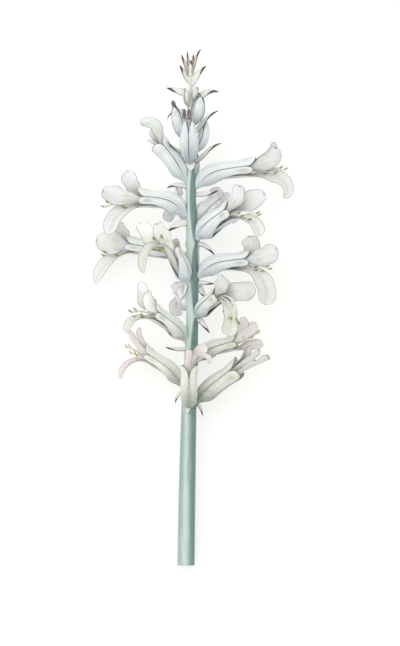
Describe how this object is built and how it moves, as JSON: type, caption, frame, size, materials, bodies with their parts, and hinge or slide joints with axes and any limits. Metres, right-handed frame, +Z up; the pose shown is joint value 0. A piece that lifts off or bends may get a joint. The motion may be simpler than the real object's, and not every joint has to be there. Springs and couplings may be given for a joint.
{
  "type": "lachenalia flower",
  "caption": "Cut flower spike of a lachenalia: a bare tapering scape with two-lipped tubular florets, buds towards the tip and dark-tipped bracts, lying on its side.",
  "frame": {"origin": "centre of the lying spike's box, on the surface that it rests on", "axes": "+Y along the scape from its cut end to its tip, +Z up from the surface, +X to the right seen from above"},
  "size_m": [0.0722, 0.182, 0.0324],
  "materials": {
    "scape": "glaucous waxy green stem, satin",
    "upper_floret": "white tepal shaded blue-grey, satin",
    "lower_floret": "cream to green-grey tepal with pink tips, satin",
    "bud": "pale blue closed tepals with dark edges, satin"
  },
  "bodies": {
    "root": {"scape": "scape", "floret_right_1": "upper_floret", "floret_right_2": "upper_floret", "floret_right_3": "upper_floret", "floret_right_4": "upper_floret", "floret_right_5": "lower_floret", "floret_right_6": "lower_floret", "floret_left_1": "upper_floret", "floret_left_2": "upper_floret", "floret_left_3": "upper_floret", "floret_left_4": "upper_floret", "floret_left_5": "lower_floret", "floret_left_6": "upper_floret", "floret_front_1": "lower_floret", "floret_back_1": "upper_floret", "floret_back_2": "upper_floret", "floret_back_3": "upper_floret", "floret_back_4": "upper_floret", "floret_back_5": "lower_floret", "bud_front_1": "bud", "bud_front_2": "bud", "bud_left_1": "bud", "bud_right_1": "bud", "bud_right_2": "bud", "bud_right_3": "bud", "bud_back_1": "bud", "bud_back_2": "bud", "bud_back_3": "bud"}
  },
  "joints": []
}
